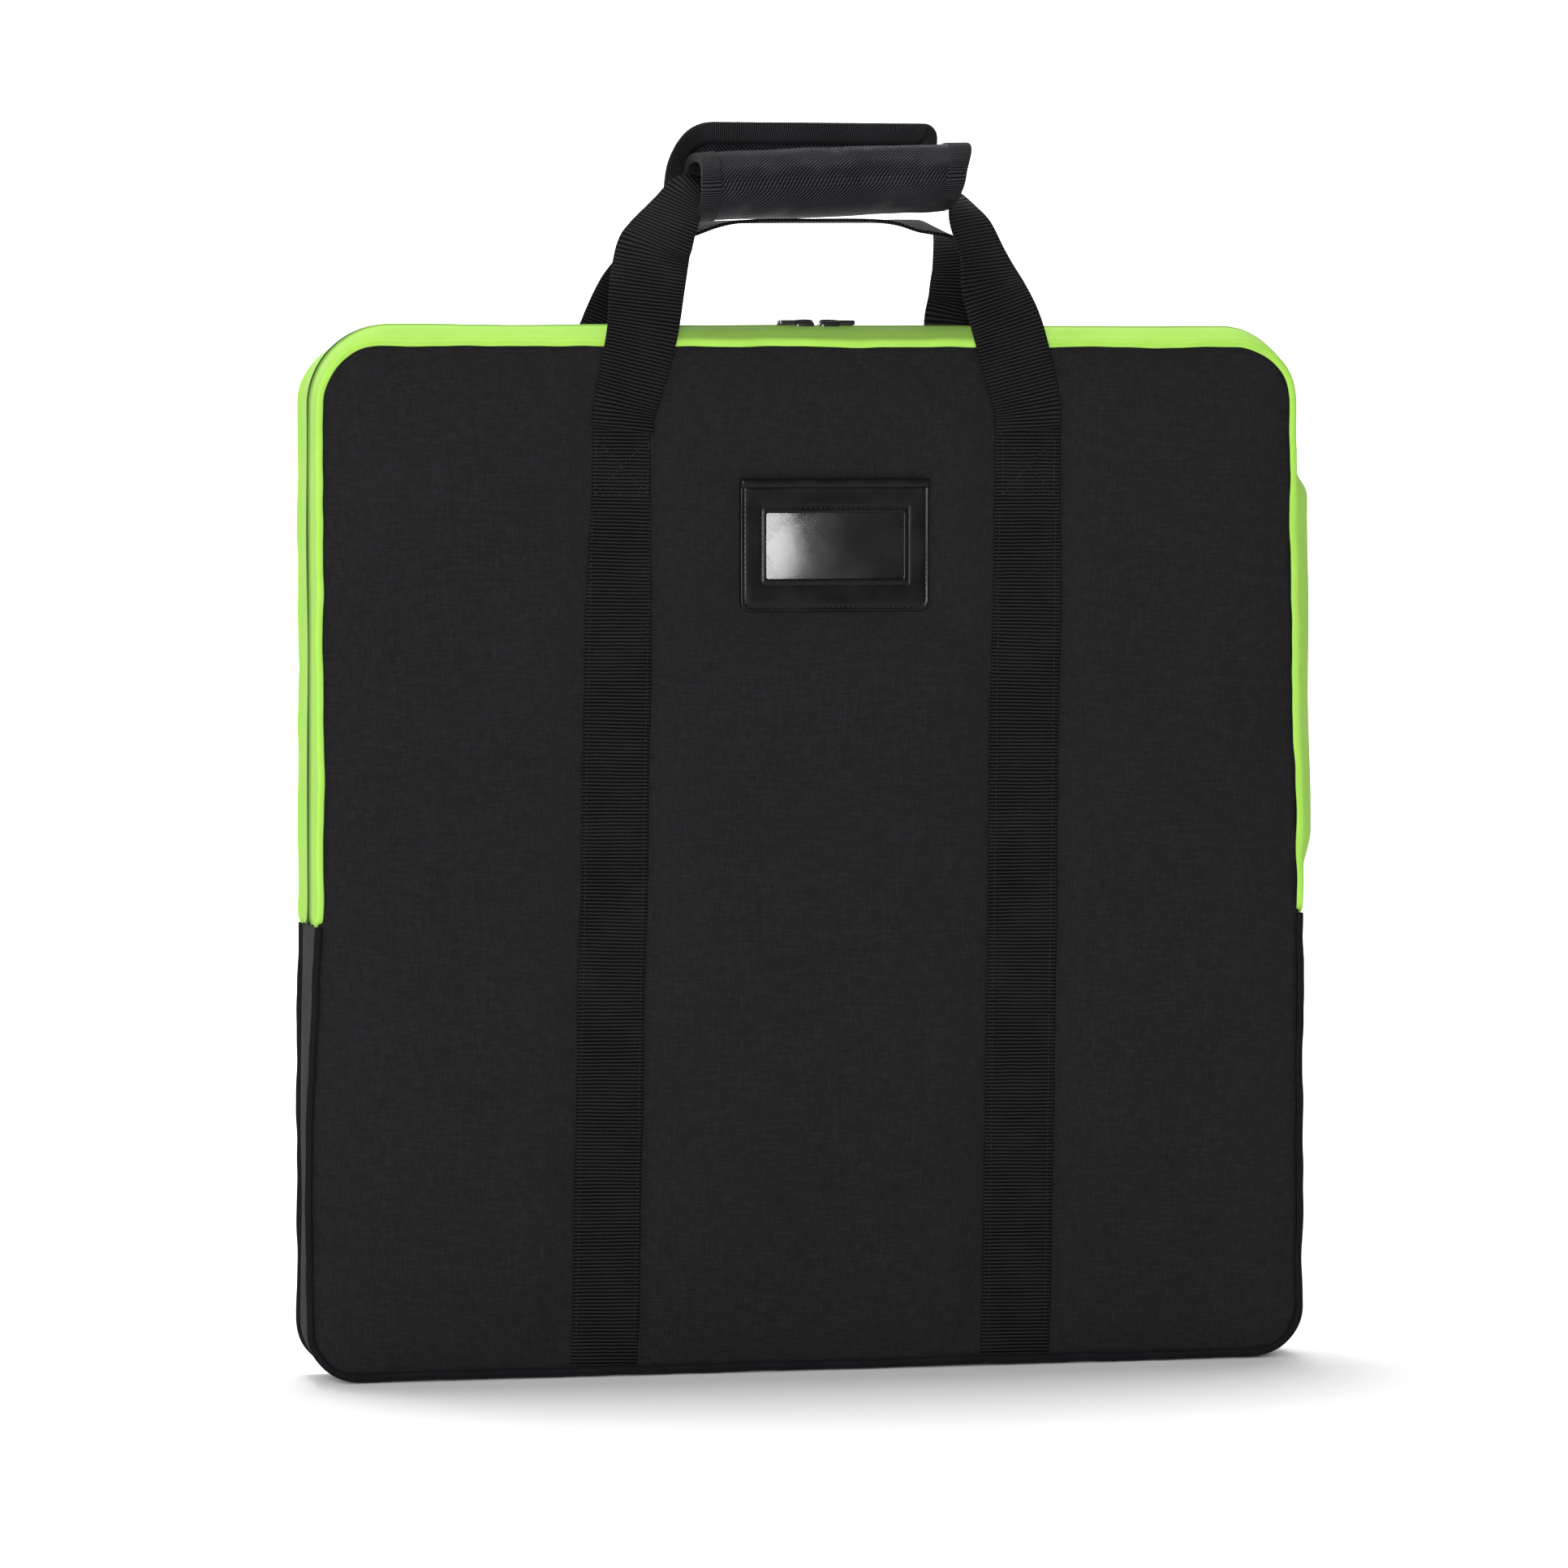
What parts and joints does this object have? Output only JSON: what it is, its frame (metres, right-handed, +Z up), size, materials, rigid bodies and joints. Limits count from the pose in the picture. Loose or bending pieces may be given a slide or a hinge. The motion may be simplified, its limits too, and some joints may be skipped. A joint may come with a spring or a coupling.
{
  "type": "portfolio case",
  "caption": "Flat padded portfolio case with a three-sided zip, folding front, webbing carry handles, grip wrap and clear identification holder.",
  "frame": {"origin": "centre of the base, on the surface it stands on", "axes": "+Z up, -Y out of the front with the identification holder, +X to the right seen from the front"},
  "size_m": [0.51, 0.0676, 0.63],
  "materials": {
    "shell": "matt plain-weave polyester cloth, charcoal black",
    "zip": "matt woven zip tape, lime green",
    "coil": "satin nylon coil, lime green",
    "webbing": "ribbed polypropylene webbing, black",
    "foam": "closed-cell foam sheet, dark grey",
    "lining": "smooth woven lining, dark grey",
    "twill": "satin twill cloth, charcoal",
    "binding": "ribbed grosgrain tape, black",
    "hook": "hook tape, black",
    "leatherette": "grained glossy leatherette, black",
    "clear": "clear flexible sheet",
    "paint": "gloss black enamel on cast metal"
  },
  "bodies": {
    "root": {"rear_panel": "shell", "rear_foam": "foam", "rear_lining": "lining", "front_panel_lower": "shell", "front_foam_lower": "foam", "front_lining_lower": "lining", "base_gusset": "shell", "side_gusset_left": "shell", "side_gusset_right": "shell", "base_lining": "lining", "side_lining_left": "lining", "side_lining_right": "lining", "zip_tape_rear": "zip", "zip_coil_rear": "coil", "front_strap_left_lower": "webbing", "front_strap_right_lower": "webbing", "rear_strap_left": "webbing", "rear_strap_right": "webbing"},
    "front_flap": {"front_panel_upper": "shell", "front_foam_upper": "foam", "front_lining_upper": "lining", "zip_tape_front": "zip", "zip_coil_front": "coil", "front_strap_left_upper": "webbing", "front_strap_right_upper": "webbing", "id_backing": "twill", "id_window": "clear", "id_frame": "leatherette"},
    "front_handle": {"front_handle_webbing": "webbing", "handle_wrap_roll": "twill", "wrap_binding_left": "binding", "wrap_binding_right": "binding"},
    "wrap_flap": {"handle_wrap_flap": "twill", "wrap_flap_binding": "binding", "wrap_hook_tape": "hook"},
    "rear_handle": {"rear_handle_webbing": "webbing"},
    "slider_left": {"zip_slider_left": "paint"},
    "tab_left": {"pull_tab_left": "paint"},
    "slider_right": {"zip_slider_right": "paint"},
    "tab_right": {"pull_tab_right": "paint"}
  },
  "joints": [
    {"name": "front_flap_open", "type": "hinge", "parent": "root", "child": "front_flap", "pos_m": [0, -0.0276, 0.228], "axis": [1, 0, 0], "range_deg": [0, 110]},
    {"name": "front_handle_fold", "type": "hinge", "parent": "front_flap", "child": "front_handle", "pos_m": [0, -0.0275, 0.476], "axis": [1, 0, 0], "range_deg": [0, 150]},
    {"name": "wrap_flap_open", "type": "hinge", "parent": "front_handle", "child": "wrap_flap", "pos_m": [0.008, 0.018, 0.5829], "axis": [-1, 0, 0], "range_deg": [0, 90]},
    {"name": "rear_handle_fold", "type": "hinge", "parent": "root", "child": "rear_handle", "pos_m": [0, 0.0275, 0.476], "axis": [-1, 0, 0], "range_deg": [0, 150]},
    {"name": "slider_left_travel", "type": "slide", "parent": "root", "child": "slider_left", "axis": [-1, 0, 0], "range_m": [0, 0.19]},
    {"name": "tab_left_lift", "type": "hinge", "parent": "slider_left", "child": "tab_left", "pos_m": [0.00015, 0, 0.52795], "axis": [0, 1, 0], "range_deg": [0, 150]},
    {"name": "slider_right_travel", "type": "slide", "parent": "root", "child": "slider_right", "axis": [1, 0, 0], "range_m": [0, 0.185]},
    {"name": "tab_right_lift", "type": "hinge", "parent": "slider_right", "child": "tab_right", "pos_m": [0.01325, 0, 0.52795], "axis": [0, -1, 0], "range_deg": [0, 150]}
  ]
}
